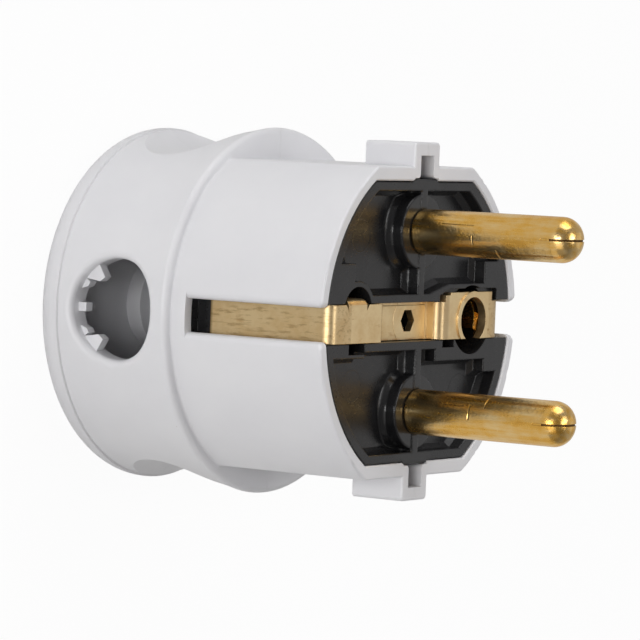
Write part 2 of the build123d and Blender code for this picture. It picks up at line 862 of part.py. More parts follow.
with BuildPart() as neutral_guard_leaf:
    with Locations((0, -pin_offset, pin_tail_height)):
        add(guard_leaf())
neutral_guard_leaf.part.label = "neutral_guard_leaf"


# Earth bridge: one strip, bent down at both ends, stepped down in the middle
with BuildPart() as earth_bridge:
    with BuildSketch(Plane.XZ) as strip:
        with BuildLine():
            Polyline(
                (-strip_reach, face_height - clip_depth),
                (-strip_reach, face_height),
                (-step_left, face_height),
                (-step_left, face_height - strip_step),
                (step_right, face_height - strip_step),
                (step_right, face_height),
                (strip_reach, face_height),
                (strip_reach, face_height - clip_depth),
                close=True,
            )
        make_face()
        outer_bends = (
            (-strip_reach, face_height, left_bend_radius),
            (strip_reach, face_height, right_bend_radius),
            (-step_left, face_height, step_bend_radius),
            (step_right, face_height, raised_bend_radius),
        )
        for x, z, radius in outer_bends:
            fillet(strip.vertices().sort_by_distance((x, z, 0))[0], radius)
        with BuildSketch(mode=Mode.PRIVATE) as inside:
            with BuildLine():
                Polyline(
                    (-clip_inner, face_height - clip_depth - overcut),
                    (-clip_inner, face_height - strip_thickness),
                    (-step_left - strip_thickness, face_height - strip_thickness),
                    (-step_left - strip_thickness, strip_floor),
                    (step_right + strip_thickness, strip_floor),
                    (step_right + strip_thickness, face_height - strip_thickness),
                    (clip_inner, face_height - strip_thickness),
                    (clip_inner, face_height - clip_depth - overcut),
                    close=True,
                )
            make_face()
            inner_bends = (
                (-clip_inner, face_height - strip_thickness, left_bend_radius - strip_thickness),
                (clip_inner, face_height - strip_thickness, right_bend_radius - strip_thickness),
                (-step_left - strip_thickness, strip_floor, step_bend_radius),
                (step_right + strip_thickness, strip_floor, step_bend_radius),
            )
            for x, z, radius in inner_bends:
                fillet(inside.vertices().sort_by_distance((x, z, 0))[0], radius)
        add(inside.sketch, mode=Mode.SUBTRACT)
    extrude(amount=strip_width / 2, both=True)

    # Wide end round the socket's earth pin
    with BuildSketch(Plane.XY.offset(face_height)) as wide_end_plate:
        with BuildLine():
            Polyline(
                (step_right + raised_bend_radius, 0),
                (step_right + raised_bend_radius, wide_top),
                (step_right + wide_shoulder, wide_top),
                (step_right + wide_shoulder + shoulder_slant, wider_top),
                (strip_reach - right_bend_radius, wider_top),
                (strip_reach - right_bend_radius, 0),
                close=True,
            )
        make_face()
    extrude(amount=-strip_thickness)
    with BuildSketch(Plane.XY.offset(face_height)):
        with Locations((socket_offset, 0)):
            Circle(socket_radius + collar_width)
        with Locations((socket_offset, strip_width)):
            Rectangle(4 * socket_radius, 3 * strip_width, mode=Mode.INTERSECT)
    extrude(amount=collar_height)
    with BuildSketch(depth_plane(strip_thickness)):
        with Locations((socket_offset, 0)):
            Circle(socket_radius)
    extrude(amount=face_height, mode=Mode.SUBTRACT)

    # Hexagonal hole in the middle
    with BuildSketch(Plane.XY.offset(strip_floor)):
        RegularPolygon(hex_flats / 2, 6, major_radius=False)
    extrude(amount=face_height, mode=Mode.SUBTRACT)

    # Tab down to the earth terminal, with a notch on each side of its bend
    with BuildSketch(Plane.YZ.offset(-tab_left)) as tab:
        with BuildLine():
            Polyline(
                (0, face_height),
                (tab_outer, face_height),
                (tab_outer, face_height - tab_depth),
                (tab_outer - strip_thickness, face_height - tab_depth),
                (tab_outer - strip_thickness, face_height - strip_thickness),
                (0, face_height - strip_thickness),
                close=True,
            )
        make_face()
        fillet(tab.vertices().sort_by_distance((tab_outer, face_height, 0))[0], tab_bend_radius)
    extrude(amount=tab_left - tab_right)
    with BuildSketch(Plane.XY.offset(face_height)):
        for edge, direction in ((-tab_left, -1), (-tab_right, 1)):
            with BuildLine():
                Polyline(
                    (edge, strip_width / 2 + notch_size),
                    (edge, strip_width / 2 - notch_size),
                    (edge + direction * 1.5 * notch_size, strip_width / 2 + notch_size),
                    close=True,
                )
            make_face()
    extrude(amount=-strip_thickness, mode=Mode.SUBTRACT)
earth_bridge.part.label = "earth_bridge"


def c_ring(inner_radius, outer_radius, top, bottom, mouth_angle):
    """A ring on the socket contact's axis, open towards -Y."""
    with BuildPart(mode=Mode.PRIVATE) as ring:
        with BuildSketch(Plane.XY.offset(bottom)):
            with Locations((socket_offset, 0)):
                Circle(outer_radius)
                Circle(inner_radius, mode=Mode.SUBTRACT)
            reach = 2 * outer_radius
            half = radians(mouth_angle / 2)
            with BuildLine():
                Polyline(
                    (socket_offset, 0),
                    (socket_offset + reach * sin(half), -reach * cos(half)),
                    (socket_offset, -2 * reach),
                    (socket_offset - reach * sin(half), -reach * cos(half)),
                    close=True,
                )
            make_face(mode=Mode.SUBTRACT)
        extrude(amount=top - bottom)
    return ring.part


with BuildPart() as earth_sleeve:
    add(
        c_ring(
            socket_radius,
            socket_radius + sleeve_contact_wall,
            face_height - sleeve_contact_top,
            face_height - sleeve_contact_bottom,
            sleeve_mouth_angle,
        )
    )
    add(
        c_ring(
            socket_radius,
            socket_radius + sleeve_contact_wall,
            face_height - strip_thickness,
            face_height - sleeve_contact_top,
            360 - sleeve_neck_angle,
        )
    )
earth_sleeve.part.label = "earth_sleeve"

with BuildPart() as sleeve_spring_ring:
    add(
        c_ring(
            socket_radius + sleeve_contact_wall,
            socket_radius + sleeve_contact_wall + ring_wall,
            face_height - ring_depth,
            face_height - ring_depth - ring_length,
            ring_mouth_angle,
        )
    )
sleeve_spring_ring.part.label = "sleeve_spring_ring"


# Central fixing: screw from the back, captive hexagonal nut in the carrier
with BuildPart() as fixing_screw:
    with Locations((0, 0, screw_seat_height)):
        add(
            slotted_screw(
                screw_diameter / 2,
                nut_top + screw_tip_past_nut - screw_seat_height,
                screw_head_radius,
                screw_head_height,
            )
        )
fixing_screw.part.label = "fixing_screw"

with BuildPart() as fixing_nut:
    with BuildSketch(Plane.XY.offset(nut_bottom)):
        RegularPolygon(nut_flats / 2, 6, major_radius=False, rotation=30)
        Circle(screw_diameter / 2, mode=Mode.SUBTRACT)
    extrude(amount=nut_thickness)
fixing_nut.part.label = "fixing_nut"


# Cord grip: arched bar and its two screws
with BuildPart() as cord_clamp:
    with BuildSketch(Plane.XY.offset(carrier_bottom - clamp_thickness)):
        with Locations((-clamp_offset, 0)):
            RectangleRounded(clamp_width, clamp_length, clamp_corner_radius)
            with Locations((0, clamp_screw_offset), (0, -clamp_screw_offset)):
                Circle(clamp_screw_radius, mode=Mode.SUBTRACT)
    extrude(amount=clamp_thickness)
    with BuildSketch(Plane.YZ.offset(-clamp_offset - clamp_width)):
        with Locations((0, carrier_bottom + clamp_arch_radius - clamp_groove_depth)):
            Circle(clamp_arch_radius)
    extrude(amount=2 * clamp_width, mode=Mode.SUBTRACT)
cord_clamp.part.label = "cord_clamp"

clamp_screw_length = clamp_thickness + saddle_thickness

with BuildPart() as cord_clamp_screw_near:
    with Locations((-clamp_offset, -clamp_screw_offset, carrier_bottom - clamp_thickness)):
        add(
            slotted_screw(clamp_screw_radius, clamp_screw_length, clamp_head_radius, clamp_head_height)
        )
cord_clamp_screw_near.part.label = "cord_clamp_screw_near"

with BuildPart() as cord_clamp_screw_far:
    with Locations((-clamp_offset, clamp_screw_offset, carrier_bottom - clamp_thickness)):
        add(
            slotted_screw(clamp_screw_radius, clamp_screw_length, clamp_head_radius, clamp_head_height)
        )
cord_clamp_screw_far.part.label = "cord_clamp_screw_far"


os.makedirs("parts", exist_ok=True)
export_step(hood.part, "parts/hood.step")
export_step(contact_carrier.part, "parts/contact_carrier.step")
export_step(line_pin.part, "parts/line_pin.step")
export_step(neutral_pin.part, "parts/neutral_pin.step")
export_step(line_terminal.part, "parts/line_terminal.step")
export_step(neutral_terminal.part, "parts/neutral_terminal.step")
export_step(earth_terminal.part, "parts/earth_terminal.step")
export_step(line_terminal_screw.part, "parts/line_terminal_screw.step")
export_step(neutral_terminal_screw.part, "parts/neutral_terminal_screw.step")
export_step(earth_terminal_screw.part, "parts/earth_terminal_screw.step")
export_step(line_guard_leaf.part, "parts/line_guard_leaf.step")
export_step(neutral_guard_leaf.part, "parts/neutral_guard_leaf.step")
export_step(earth_bridge.part, "parts/earth_bridge.step")
export_step(earth_sleeve.part, "parts/earth_sleeve.step")
export_step(sleeve_spring_ring.part, "parts/sleeve_spring_ring.step")
export_step(fixing_screw.part, "parts/fixing_screw.step")
export_step(fixing_nut.part, "parts/fixing_nut.step")
export_step(cord_clamp.part, "parts/cord_clamp.step")
export_step(cord_clamp_screw_near.part, "parts/cord_clamp_screw_near.step")
export_step(cord_clamp_screw_far.part, "parts/cord_clamp_screw_far.step")
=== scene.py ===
"""Looks of the angled plug: camera, light, materials and the details that the solids leave plain.

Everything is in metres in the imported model's frame: the plug stands on its flat back, the pins
point to +Z, and the cord enters from -X. The materials and the slits' leaves are sized in
millimetres, and noise scales are features per millimetre.
"""

import json
import math

import bmesh
import bpy
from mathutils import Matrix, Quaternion, Vector


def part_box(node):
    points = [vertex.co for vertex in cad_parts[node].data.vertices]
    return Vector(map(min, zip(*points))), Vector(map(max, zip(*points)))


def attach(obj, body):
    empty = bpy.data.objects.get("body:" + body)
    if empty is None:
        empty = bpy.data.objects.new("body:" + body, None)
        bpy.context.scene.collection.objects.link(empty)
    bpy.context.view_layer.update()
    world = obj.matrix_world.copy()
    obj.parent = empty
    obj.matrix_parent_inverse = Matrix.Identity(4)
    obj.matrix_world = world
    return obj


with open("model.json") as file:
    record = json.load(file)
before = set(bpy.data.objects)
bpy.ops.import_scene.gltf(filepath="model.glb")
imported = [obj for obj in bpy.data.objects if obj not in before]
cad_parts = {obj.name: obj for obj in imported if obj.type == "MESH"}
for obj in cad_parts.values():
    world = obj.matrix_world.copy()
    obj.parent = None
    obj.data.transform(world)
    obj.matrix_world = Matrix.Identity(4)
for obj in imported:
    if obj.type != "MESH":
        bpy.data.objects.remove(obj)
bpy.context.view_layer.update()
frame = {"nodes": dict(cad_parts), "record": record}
nodes = frame["nodes"]
MM = 0.001
BEVEL_SAMPLES = 8
NOISE_LOW = 0.3
NOISE_HIGH = 0.7
SPECK_EDGE = 0.3
GROOVE_EDGE = 0.06
WHITE = (1.0, 1.0, 1.0)

# Colour sockets of a mix node
MIX_COLOURS = (6, 7)
MIX_RESULT = 2


# Node helpers
def new_material(name):
    """A node material, its tree and its principled shader."""
    material = bpy.data.materials.new(name)
    material.use_nodes = True
    tree = material.node_tree
    return material, tree, tree.nodes["Principled BSDF"]


def add_node(tree, kind, inputs=None, **settings):
    """A node with its settings, and its inputs set or linked by name or number."""
    node = tree.nodes.new(kind)
    for key, value in settings.items():
        setattr(node, key, value)
    for key, value in (inputs or {}).items():
        if isinstance(value, bpy.types.NodeSocket):
            tree.links.new(value, node.inputs[key])
        else:
            node.inputs[key].default_value = value
    return node


def millimetres(tree, stretch=(1.0, 1.0, 1.0)):
    """Object coordinates in millimetres, stretched along the axes."""
    place = add_node(tree, "ShaderNodeTexCoord").outputs["Object"]
    scale = [value / MM for value in stretch]
    return add_node(tree, "ShaderNodeMapping", {"Vector": place, "Scale": scale}).outputs[0]


def noise_texture(tree, vector, scale, detail, roughness=0.55):
    """A noise value at so many features per millimetre."""
    node = add_node(
        tree,
        "ShaderNodeTexNoise",
        {"Vector": vector, "Scale": scale, "Detail": detail, "Roughness": roughness},
    )
    return node.outputs[0]


def remap(tree, value, low, high, new_low, new_high):
    """A value moved from one range to another and kept inside it."""
    node = add_node(
        tree,
        "ShaderNodeMapRange",
        {"Value": value, "From Min": low, "From Max": high, "To Min": new_low, "To Max": new_high},
    )
    return node.outputs[0]


def stretch_noise(tree, noise, new_low, new_high):
    """A noise value stretched from the span that it mostly keeps to."""
    return remap(tree, noise, NOISE_LOW, NOISE_HIGH, new_low, new_high)


def calculate(tree, operation, first, second=0.0, third=0.0):
    """The result of a math node."""
    node = add_node(tree, "ShaderNodeMath", {0: first, 1: second, 2: third}, operation=operation)
    return node.outputs[0]


def multiply(tree, first, second):
    """The product of two values."""
    return calculate(tree, "MULTIPLY", first, second)


def larger(tree, first, second):
    """The larger of two values."""
    return calculate(tree, "MAXIMUM", first, second)


def magnitude(tree, value):
    """A value without its sign."""
    return calculate(tree, "ABSOLUTE", value)


def vector_math(tree, operation, inputs, output=0):
    """The result of a vector math node."""
    return add_node(tree, "ShaderNodeVectorMath", inputs, operation=operation).outputs[output]


def axes(tree, vector):
    """The three parts of a vector."""
    return add_node(tree, "ShaderNodeSeparateXYZ", {0: vector}).outputs


def near(tree, value, centre, reach):
    """1 where a value is at the centre, falling to 0 at the reach."""
    apart = magnitude(tree, calculate(tree, "SUBTRACT", value, centre))
    return remap(tree, apart, 0.0, reach, 1.0, 0.0)


def between(tree, value, low, high, soft):
    """1 between two limits, with soft edges."""
    rise = remap(tree, value, low - soft, low + soft, 0.0, 1.0)
    fall = remap(tree, value, high - soft, high + soft, 1.0, 0.0)
    return multiply(tree, rise, fall)


def spot_distance(tree, vector, centre):
    """The distance to a point."""
    return vector_math(tree, "DISTANCE", {0: vector, 1: centre}, "Value")


def axis_distance(tree, place):
    """The distance from the plug's upright axis."""
    flat = vector_math(tree, "MULTIPLY", {0: place, 1: (1.0, 1.0, 0.0)})
    return vector_math(tree, "LENGTH", {0: flat}, "Value")


def groove(tree, place, centre, half):
    """1 inside a thin box that reaches its halves from the centre, falling to 0 past it."""
    inside = 1.0
    for value, middle, reach in zip(axes(tree, place), centre, half):
        along = between(tree, value, middle - reach, middle + reach, GROOVE_EDGE)
        inside = multiply(tree, inside, along)
    return inside


def specks(tree, vector, spacing, radius, share):
    """1 inside small scattered specks; only a share of the cells has one."""
    cells = add_node(tree, "ShaderNodeTexVoronoi", {"Vector": vector, "Scale": 1.0 / spacing})
    size = axes(tree, cells.outputs["Color"])
    limit = remap(tree, size[0], 1.0 - share, 1.0, 0.0, radius / spacing)
    inside = calculate(tree, "SUBTRACT", limit, cells.outputs["Distance"])
    return remap(tree, inside, 0.0, SPECK_EDGE * radius / spacing, 0.0, 1.0)


def colour_ramp(tree, value, stops):
    """A colour ramp through the stops (place, colour)."""
    node = add_node(tree, "ShaderNodeValToRGB", {0: value})
    ramp = node.color_ramp
    while len(ramp.elements) < len(stops):
        ramp.elements.new(0.5)
    for element, (place, colour) in zip(ramp.elements, stops):
        element.position = place
        element.color = (*colour, 1.0)
    return node.outputs[0]


def blend_colour(tree, share, first, second):
    """A colour blended between two by a share."""
    values = {0: share}
    for socket, colour in zip(MIX_COLOURS, (first, second)):
        values[socket] = (*colour, 1.0) if isinstance(colour, tuple) else colour
    return add_node(tree, "ShaderNodeMix", values, data_type="RGBA").outputs[MIX_RESULT]


def stain_and_shade(tree, share, strength, tint, colour):
    """A tint that takes on a colour by a share times a strength: used both for real stains and for
    painted shade.
    """
    return blend_colour(tree, multiply(tree, share, strength), tint, colour)


def rounded_edges(tree, radius):
    """The surface normal with edges softened over a radius in metres, a number or a socket."""
    return add_node(tree, "ShaderNodeBevel", {"Radius": radius}, samples=BEVEL_SAMPLES).outputs[0]


def bump(tree, height, depth, normal):
    """A bump whose height value of 1 stands so high."""
    inputs = {"Height": height, "Distance": depth * MM, "Strength": 1.0, "Normal": normal}
    return add_node(tree, "ShaderNodeBump", inputs).outputs[0]


def connect(tree, shader, tint, roughness, normal):
    """Link a colour, a roughness and a normal to a shader."""
    tree.links.new(tint, shader.inputs["Base Color"])
    tree.links.new(roughness, shader.inputs["Roughness"])
    tree.links.new(normal, shader.inputs["Normal"])


# White plastic
HOOD_TINTS = ((0.3, (0.765, 0.765, 0.79)), (0.7, (0.795, 0.795, 0.815)))
HOOD_ROUGHNESS = (0.30, 0.40)
HOOD_WALL = (16.2, 16.4)
HOOD_GRAIN_DEPTH = 0.0012
HOOD_WAVE_DEPTH = 0.02
HOOD_EDGE = 0.07
SEAM_HEIGHT = 3.40
SEAM_WANDER = (0.35, 0.65)
SEAM_WIDTHS = (0.03, 0.11)
SEAM_STAIN = (0.45, 0.42, 0.40)
SEAM_STRENGTH = 0.14
SEAM_DEPTH = 0.022
PARTING_WIDTH = 0.09
PARTING_DEPTH = 0.05
DIRT_SPECKS = {"spacing": 2.6, "radius": 0.11, "share": 0.22}
DIRT_STAIN = (0.36, 0.30, 0.25)
DIRT_STRENGTH = 0.45
GLOW_WEIGHT = 0.08
GLOW_DEPTH = 0.35


def hood_plastic():
    """White moulded plastic: faint flow clouds, fine grain, parting lines, a few dark specks."""
    material, tree, shader = new_material("white_plastic")
    place = millimetres(tree)
    x, _, z = axes(tree, place)
    cloud = noise_texture(tree, place, scale=0.12, detail=3.0)
    tint = colour_ramp(tree, cloud, HOOD_TINTS)
    wander = noise_texture(tree, place, scale=0.8, detail=3.0)
    seam_width = remap(tree, wander, *SEAM_WANDER, *SEAM_WIDTHS)
    seam = magnitude(tree, calculate(tree, "SUBTRACT", z, SEAM_HEIGHT))
    seam = calculate(tree, "DIVIDE", seam, seam_width)
    seam = remap(tree, seam, 0.0, 1.0, 1.0, 0.0)
    outside = remap(tree, axis_distance(tree, place), *HOOD_WALL, 0.0, 1.0)
    seam = multiply(tree, seam, outside)
    parting = multiply(tree, near(tree, x, 0.0, PARTING_WIDTH), outside)
    dirt = specks(tree, place, **DIRT_SPECKS)
    tint = stain_and_shade(tree, seam, SEAM_STRENGTH, tint, SEAM_STAIN)
    tint = stain_and_shade(tree, dirt, DIRT_STRENGTH, tint, DIRT_STAIN)
    grain = noise_texture(tree, place, scale=9.0, detail=3.0)
    normal = rounded_edges(tree, HOOD_EDGE * MM)
    normal = bump(tree, noise_texture(tree, place, scale=0.45, detail=2.0), HOOD_WAVE_DEPTH, normal)
    normal = bump(tree, grain, HOOD_GRAIN_DEPTH, normal)
    normal = bump(tree, parting, PARTING_DEPTH, normal)
    normal = bump(tree, seam, SEAM_DEPTH, normal)
    connect(tree, shader, tint, stretch_noise(tree, grain, *HOOD_ROUGHNESS), normal)
    shader.inputs["Subsurface Weight"].default_value = GLOW_WEIGHT
    shader.inputs["Subsurface Radius"].default_value = (1.0, 1.0, 1.0)
    shader.inputs["Subsurface Scale"].default_value = GLOW_DEPTH * MM
    return material


# Black plastic
PIN_OFFSET = 9.5
BOSS_REACH = 5.3
BOSS_FADE = 0.6
BOSS_EDGE = 0.42
FLOOR_EDGE = 0.15
BLACK_TINTS = ((0.3, (0.010, 0.010, 0.011)), (0.7, (0.017, 0.017, 0.018)))
BLACK_ROUGHNESS = (0.13, 0.20)
SATIN_ROUGHNESS = 0.13
BLACK_GRAIN_DEPTH = 0.0012
BLACK_WAVE_DEPTH = 0.012
DUST_SPECKS = {"spacing": 1.6, "radius": 0.055, "share": 0.16}
DUST_STAIN = (0.20, 0.19, 0.18)
DUST_STRENGTH = 0.5
EJECTOR_MARKS = (
    ((10.9, -8.0, 35.15), 2.0),
    ((-9.6, -6.6, 35.15), 1.7),
    ((-9.0, 9.0, 35.15), 1.7),
)
EJECTOR_LINE = 0.10
EJECTOR_DEPTH = 0.012


def carrier_plastic():
    """Black moulded plastic: satin floors, glossy bosses, a little dust and ejector marks."""
    material, tree, shader = new_material("black_plastic")
    place = millimetres(tree)
    x, y, _ = axes(tree, place)
    cloud = noise_texture(tree, place, scale=0.3, detail=4.0)
    tint = colour_ramp(tree, cloud, BLACK_TINTS)
    dust = specks(tree, place, **DUST_SPECKS)
    tint = stain_and_shade(tree, dust, DUST_STRENGTH, tint, DUST_STAIN)
    off_pin = calculate(tree, "SUBTRACT", magnitude(tree, y), PIN_OFFSET)
    off_pin = add_node(tree, "ShaderNodeCombineXYZ", {0: x, 1: off_pin}).outputs[0]
    off_pin = vector_math(tree, "LENGTH", {0: off_pin}, "Value")
    satin = remap(tree, off_pin, BOSS_REACH, BOSS_REACH + BOSS_FADE, 0.0, 1.0)
    grain = noise_texture(tree, place, scale=4.0, detail=4.0)
    rough = stretch_noise(tree, grain, *BLACK_ROUGHNESS)
    rough = calculate(tree, "MULTIPLY_ADD", satin, SATIN_ROUGHNESS, rough)
    normal = rounded_edges(tree, remap(tree, satin, 0.0, 1.0, BOSS_EDGE * MM, FLOOR_EDGE * MM))
    normal = bump(tree, noise_texture(tree, place, scale=0.7, detail=2.0), BLACK_WAVE_DEPTH, normal)
    normal = bump(tree, multiply(tree, grain, satin), BLACK_GRAIN_DEPTH, normal)
    for centre, ring in EJECTOR_MARKS:
        edge = near(tree, spot_distance(tree, place, centre), ring, EJECTOR_LINE)
        normal = bump(tree, edge, EJECTOR_DEPTH, normal)
    connect(tree, shader, tint, rough, normal)
    return material


# Pin brass: each crease is a thin box, its centre and half its size; the creases are darkened with
# painted shade
PIN_TINTS = ((0.30, (0.66, 0.32, 0.045)), (0.44, (0.87, 0.50, 0.11)), (0.62, (0.93, 0.69, 0.34)))
PIN_STRETCH = (1.0, 1.0, 0.10)
STREAK_SHARE = 0.5
CLOUD_SHARE = 0.5
PIN_ROUGHNESS = (0.27, 0.16)
PIN_EDGE = 0.05
PIN_ROLL_DEPTH = 0.035
PIN_WAVE_DEPTH = 0.03
PIT_SPAN = (0.45, 0.70)
PIT_ROUGHNESS = 0.08
PIT_DEPTH = 0.005
PIN_CREASES = (
    ((-2.2, 10.50, 42.6), (0.9, 0.03, 2.0)),
    ((-2.3, 9.00, 44.6), (0.8, 0.45, 0.05)),
    ((-1.6, 7.65, 47.3), (0.9, 0.40, 0.05)),
    ((-2.3, -8.90, 45.0), (0.8, 0.75, 0.05)),
    ((-1.6, -7.85, 46.8), (0.9, 0.55, 0.05)),
    ((-2.2, -8.30, 42.9), (0.9, 0.03, 1.3)),
    ((2.2, 10.30, 46.0), (0.9, 0.03, 2.4)),
    ((2.2, -10.10, 43.0), (0.9, 0.03, 1.8)),
)
CREASE_SHADE = (0.20, 0.10, 0.03)
CREASE_SHADE_STRENGTH = 0.75
CREASE_DEPTH = 0.05


def pin_brass():
    """Rolled pin brass: drawn streaks, waves from rolling, patchy colour, fine pits, and creases
    darkened with painted shade.
    """
    material, tree, shader = new_material("pin_brass")
    place = millimetres(tree)
    along = millimetres(tree, PIN_STRETCH)
    cloud = noise_texture(tree, place, scale=0.30, detail=5.0, roughness=0.6)
    streak = noise_texture(tree, along, scale=1.6, detail=4.0, roughness=0.6)
    cloud = multiply(tree, cloud, CLOUD_SHARE)
    mixed = calculate(tree, "MULTIPLY_ADD", streak, STREAK_SHARE, cloud)
    tint = colour_ramp(tree, mixed, PIN_TINTS)
    creases = 0.0
    for centre, half in PIN_CREASES:
        creases = larger(tree, creases, groove(tree, place, centre, half))
    # Painted shade in the creases
    tint = stain_and_shade(tree, creases, CREASE_SHADE_STRENGTH, tint, CREASE_SHADE)
    pits = noise_texture(tree, place, scale=3.4, detail=3.0, roughness=0.6)
    rough = stretch_noise(tree, mixed, *PIN_ROUGHNESS)
    rough = calculate(tree, "MULTIPLY_ADD", pits, PIT_ROUGHNESS, rough)
    normal = rounded_edges(tree, PIN_EDGE * MM)
    normal = bump(tree, noise_texture(tree, along, scale=0.8, detail=2.0), PIN_ROLL_DEPTH, normal)
    normal = bump(tree, noise_texture(tree, place, scale=0.5, detail=2.0), PIN_WAVE_DEPTH, normal)
    normal = bump(tree, remap(tree, pits, *PIT_SPAN, 1.0, 0.0), PIT_DEPTH, normal)
    normal = bump(tree, calculate(tree, "SUBTRACT", 1.0, creases), CREASE_DEPTH, normal)
    connect(tree, shader, tint, rough, normal)
    shader.inputs["Metallic"].default_value = 1.0
    return material


# Marks and painted shade on the earth bridge
STRIP_FACE = 35.45
STRIP_LOW = 34.6
STRIP_HIGH = 36.2
STRIP_FADE = 0.1
LEFT_LINE = -4.93
LEFT_LINE_WIDTH = 0.06
RIGHT_LINE = 3.35
RIGHT_LINE_WIDTH = 0.10
BORDER_PLACE = 1.66
BORDER_WIDTH = 0.05
RING_RADIUS = 2.75
RING_WIDTH = 0.06
RING_FADE = (-0.6, 0.4)
RING_STRENGTHS = (1.0, 0.25)
RING_BORDER_SHARE = 0.6
LINE_SHADE = (0.26, 0.12, 0.04)
LINE_SHADE_STRENGTH = 0.85
COINED_DEPTH = 0.05
BEND_START = 3.6
BEND_END = 5.3
BEND_FADE = 0.2
BEND_SHADE = (0.46, 0.32, 0.17)
BEND_SHADE_STRENGTH = 0.55
EDGE_START = 1.72
EDGE_END = 2.02
EDGE_BREAKS = (0.42, 0.60)
EDGE_BROWN = (0.62, 0.30, 0.10)
EDGE_STRENGTH = 0.75
CLIP_START = 13.0
CLIP_FADE = 0.2
CLIP_STRETCH = (1.0, 1.6, 0.30)
CLIP_STREAKS = (0.52, 0.66)
CLIP_STRENGTHS = (0.22, 0.75)
CLIP_STAIN = (0.42, 0.27, 0.12)
CLIP_END = 21.9
CLIP_END_FADE = 0.35
CLIP_END_STRENGTH = 0.85
CLIP_END_DARK = (0.12, 0.07, 0.03)
DENT_PLACE = (9.9, 2.1, 36.4)
DENT_RADIUS = 0.9
DENT_DEPTH = 0.22


def bridge_marks(tree, place, tint, normal):
    """The bridge's marks and painted shade: shade painted along the bend lines, the border line and
    the coined ring, a painted shade band on the right bend, brown edges and darkened clip ends.
    """
    x, y, z = axes(tree, place)
    flat = between(tree, z, STRIP_LOW, STRIP_HIGH, STRIP_FADE)
    right_line = near(tree, x, RIGHT_LINE, RIGHT_LINE_WIDTH)
    lines = larger(tree, right_line, near(tree, x, LEFT_LINE, LEFT_LINE_WIDTH))
    border = near(tree, y, BORDER_PLACE, BORDER_WIDTH)
    border = multiply(tree, border, between(tree, x, LEFT_LINE, RIGHT_LINE, BORDER_WIDTH))
    ring = spot_distance(tree, place, (0.0, 0.0, STRIP_FACE))
    ring = near(tree, ring, RING_RADIUS, RING_WIDTH)
    ring = multiply(tree, ring, remap(tree, x, *RING_FADE, *RING_STRENGTHS))
    # Painted shade along the bend lines, the border line and the ring, stronger on the ring's left
    # side; the lines are also pressed in as shallow grooves
    shaded_lines = multiply(tree, larger(tree, ring, border), RING_BORDER_SHARE)
    shaded_lines = multiply(tree, larger(tree, shaded_lines, lines), flat)
    tint = stain_and_shade(tree, shaded_lines, LINE_SHADE_STRENGTH, tint, LINE_SHADE)
    # Painted shade over the right bend, dimming its bright band
    bend_shade = between(tree, x, BEND_START, BEND_END, BEND_FADE)
    tint = stain_and_shade(tree, bend_shade, BEND_SHADE_STRENGTH, tint, BEND_SHADE)
    # Browner in broken patches along the long edges
    edge = remap(tree, magnitude(tree, y), EDGE_START, EDGE_END, 0.0, 1.0)
    broken = noise_texture(tree, place, scale=1.4, detail=4.0, roughness=0.7)
    broken = remap(tree, broken, *EDGE_BREAKS, 0.0, EDGE_STRENGTH)
    edge = multiply(tree, multiply(tree, edge, broken), flat)
    tint = blend_colour(tree, edge, tint, EDGE_BROWN)
    outer = remap(tree, magnitude(tree, x), CLIP_START, CLIP_START + CLIP_FADE, 0.0, 1.0)
    along = millimetres(tree, CLIP_STRETCH)
    streak = noise_texture(tree, along, scale=1.5, detail=4.0, roughness=0.65)
    streak = remap(tree, streak, *CLIP_STREAKS, *CLIP_STRENGTHS)
    tint = stain_and_shade(tree, streak, outer, tint, CLIP_STAIN)
    # Darker at the clip ends, below z 21.9 mm
    end = remap(tree, z, CLIP_END, CLIP_END + CLIP_END_FADE, CLIP_END_STRENGTH, 0.0)
    tint = stain_and_shade(tree, end, outer, tint, CLIP_END_DARK)
    normal = bump(tree, calculate(tree, "SUBTRACT", 1.0, shaded_lines), COINED_DEPTH, normal)
    dent = remap(tree, spot_distance(tree, place, DENT_PLACE), 0.0, DENT_RADIUS, 0.0, 1.0)
    return tint, bump(tree, dent, DENT_DEPTH, normal)


# Sheet brass
SHEET_LIGHT_PLACE = 0.60
SHEET_DARK_PLACE = 0.34
RUBBED_STRETCH = (0.35, 1.0, 0.35)
RUBBED_SPAN = (0.60, 0.72)
RUBBED_STRENGTH = 0.75
SHEET_GRAIN_STRETCH = (0.25, 1.0, 0.25)
SHEET_SPECKS = {"spacing": 1.3, "radius": 0.10, "share": 0.25}
SHEET_SPECK_STRENGTH = 0.5
SHEET_WAVE_DEPTH = 0.02
SHEET_GRAIN_DEPTH = 0.002


